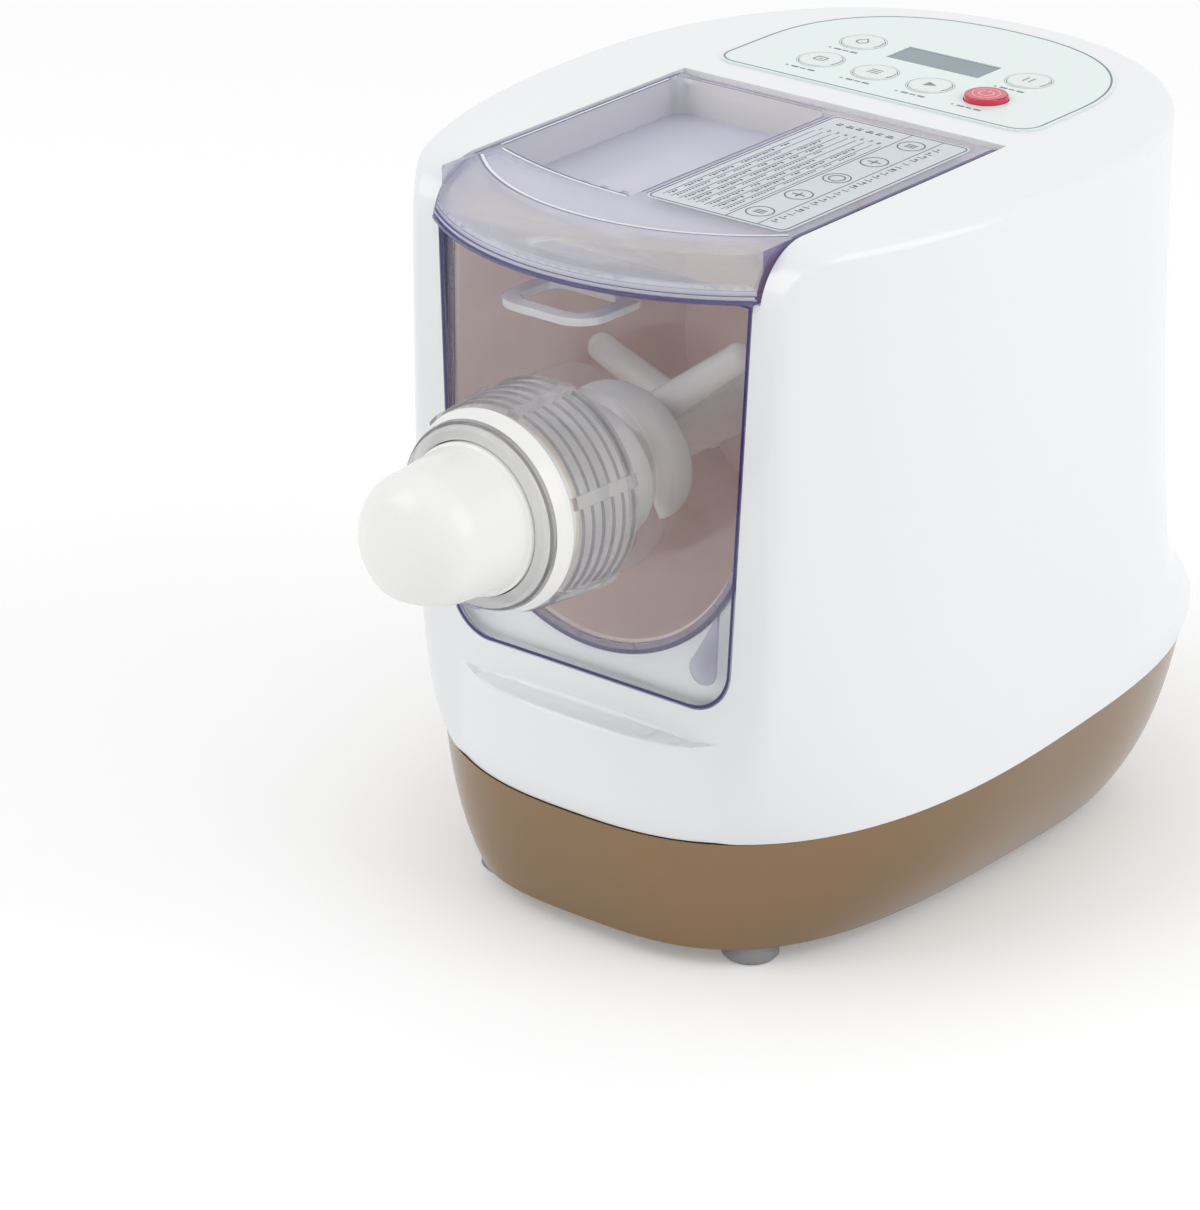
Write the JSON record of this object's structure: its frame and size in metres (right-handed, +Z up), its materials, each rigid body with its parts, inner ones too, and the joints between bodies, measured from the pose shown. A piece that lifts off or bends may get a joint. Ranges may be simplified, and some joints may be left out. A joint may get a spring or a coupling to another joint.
{
  "type": "electric pasta maker",
  "caption": "Electric pasta maker: mixing chamber with clear lid and front panel, motor drive, auger, and a die held by a clear nut.",
  "frame": {"origin": "on the table under the middle of the overall length and width", "axes": "+Z up; +Y towards the rear; the outlet points along -Y"},
  "size_m": [0.256, 0.4287, 0.3093],
  "materials": {
    "housing_white": "glossy moulded ABS, cool white",
    "base_bronze": "satin champagne bronze lacquer",
    "foot_rubber": "soft grey rubber",
    "fastener_steel": "zinc plated steel",
    "fascia_mint": "satin printed polyester sheet",
    "display_glass": "tinted acrylic window",
    "lcd_grey": "liquid crystal module",
    "board_green": "glass fibre circuit board",
    "switch_black": "black nylon",
    "button_red": "crimson gloss plastic",
    "button_pale": "pale satin plastic",
    "chamber_smoke": "smoke tinted moulded plastic",
    "seal_violet": "dark violet silicone",
    "clear_plastic": "clear moulded plastic with a violet edge tint",
    "nut_clear": "clear moulded plastic",
    "die_white": "milk white acetal",
    "gasket_beige": "beige silicone",
    "auger_white": "white acetal",
    "shaft_steel": "ground stainless steel",
    "seal_black": "black nitrile rubber",
    "bush_bronze": "sintered bronze",
    "chassis_steel": "galvanised steel sheet",
    "case_grey": "glass filled nylon",
    "cover_alloy": "pressed aluminium",
    "gear_nylon": "natural nylon gear",
    "pinion_brass": "machined brass",
    "motor_steel": "pressed steel can",
    "rotor_copper": "laminated steel with copper windings",
    "fan_white": "white polypropylene",
    "cradle_grey": "grey nylon",
    "inlet_black": "black thermoset",
    "chart_sheet": "printed sheet",
    "magnet_grey": "sintered magnet"
  },
  "bodies": {
    "machine": {"upper_housing": "housing_white", "base_pan": "base_bronze", "rubber_feet": "foot_rubber", "base_screws": "fastener_steel", "control_fascia": "fascia_mint", "display_window": "display_glass", "lcd_module": "lcd_grey", "control_board": "board_green", "tact_switches": "switch_black", "mixing_chamber": "chamber_smoke", "panel_seal": "seal_violet", "shaft_seal": "seal_black", "shaft_bearings": "bush_bronze", "chassis_plate": "chassis_steel", "gearbox_case": "case_grey", "gearbox_cover": "cover_alloy", "countershaft_axle": "shaft_steel", "motor_can": "motor_steel", "motor_end_cap": "switch_black", "motor_cradle": "cradle_grey", "gearbox_screws": "fastener_steel", "power_board": "board_green", "mains_inlet": "inlet_black", "inlet_pins": "shaft_steel", "hinge_pins": "shaft_steel", "lid_switch": "switch_black"},
    "lid": {"lid": "clear_plastic", "lid_chart": "chart_sheet", "lid_magnet": "magnet_grey"},
    "front_panel": {"front_panel": "clear_plastic"},
    "die": {"die_head": "die_white", "die_gasket": "gasket_beige"},
    "nut": {"nozzle_nut": "nut_clear"},
    "drive": {"drive_shaft": "shaft_steel", "auger_screw": "auger_white", "mixing_paddle": "auger_white", "output_gear": "gear_nylon"},
    "countershaft": {"countershaft_gear": "gear_nylon"},
    "rotor": {"motor_rotor": "rotor_copper", "motor_fan": "fan_white", "motor_pinion": "pinion_brass"},
    "power_key": {"button_power": "button_red"},
    "start_key": {"button_start": "button_pale"},
    "menu_key": {"button_menu": "button_pale"},
    "weight_key": {"button_weight": "button_pale"},
    "clean_key": {"button_clean": "button_pale"},
    "pause_key": {"button_pause": "button_pale"}
  },
  "joints": [
    {"name": "lid_hinge", "type": "hinge", "parent": "machine", "child": "lid", "pos_m": [0, 0.05111, 0.3011], "axis": [-1, 0, 0], "range_deg": [0, 85]},
    {"name": "panel_slide", "type": "slide", "parent": "machine", "child": "front_panel", "axis": [0, -1, 0], "range_m": [0, 0.06]},
    {"name": "die_slide", "type": "slide", "parent": "front_panel", "child": "die", "axis": [0, -1, 0], "range_m": [0, 0.0092]},
    {"name": "nut_turn", "type": "hinge", "parent": "die", "child": "nut", "pos_m": [0, -0.14, 0.198], "axis": [0, 1, 0], "range_deg": [0, 1080]},
    {"name": "drive_spin", "type": "hinge", "parent": "machine", "child": "drive", "pos_m": [0, 0, 0.198], "axis": [0, 1, 0], "continuous": true},
    {"name": "countershaft_spin", "type": "hinge", "parent": "machine", "child": "countershaft", "pos_m": [0, 0.075, 0.1425], "axis": [0, 1, 0], "continuous": true},
    {"name": "rotor_spin", "type": "hinge", "parent": "machine", "child": "rotor", "pos_m": [0, 0.13, 0.1085], "axis": [0, 1, 0], "continuous": true},
    {"name": "power_press", "type": "slide", "parent": "machine", "child": "power_key", "axis": [0, 0.0218, -0.9998], "range_m": [0, 0.0012], "stiffness_N_per_m": 400, "springref_m": -0.0005},
    {"name": "start_press", "type": "slide", "parent": "machine", "child": "start_key", "axis": [0, 0.0218, -0.9998], "range_m": [0, 0.0012], "stiffness_N_per_m": 400, "springref_m": -0.0005},
    {"name": "menu_press", "type": "slide", "parent": "machine", "child": "menu_key", "axis": [0, 0.0218, -0.9998], "range_m": [0, 0.0012], "stiffness_N_per_m": 400, "springref_m": -0.0005},
    {"name": "weight_press", "type": "slide", "parent": "machine", "child": "weight_key", "axis": [0, 0.0218, -0.9998], "range_m": [0, 0.0012], "stiffness_N_per_m": 400, "springref_m": -0.0005},
    {"name": "clean_press", "type": "slide", "parent": "machine", "child": "clean_key", "axis": [0, 0.0218, -0.9998], "range_m": [0, 0.0012], "stiffness_N_per_m": 400, "springref_m": -0.0005},
    {"name": "pause_press", "type": "slide", "parent": "machine", "child": "pause_key", "axis": [0, 0.0218, -0.9998], "range_m": [0, 0.0012], "stiffness_N_per_m": 400, "springref_m": -0.0005}
  ],
  "couplings": [
    {"joint": "countershaft_spin", "follows": "drive_spin", "ratio": -4.2857},
    {"joint": "rotor_spin", "follows": "drive_spin", "ratio": 20},
    {"joint": "die_slide", "follows": "nut_turn", "m_per_rad": 0.00047746}
  ]
}
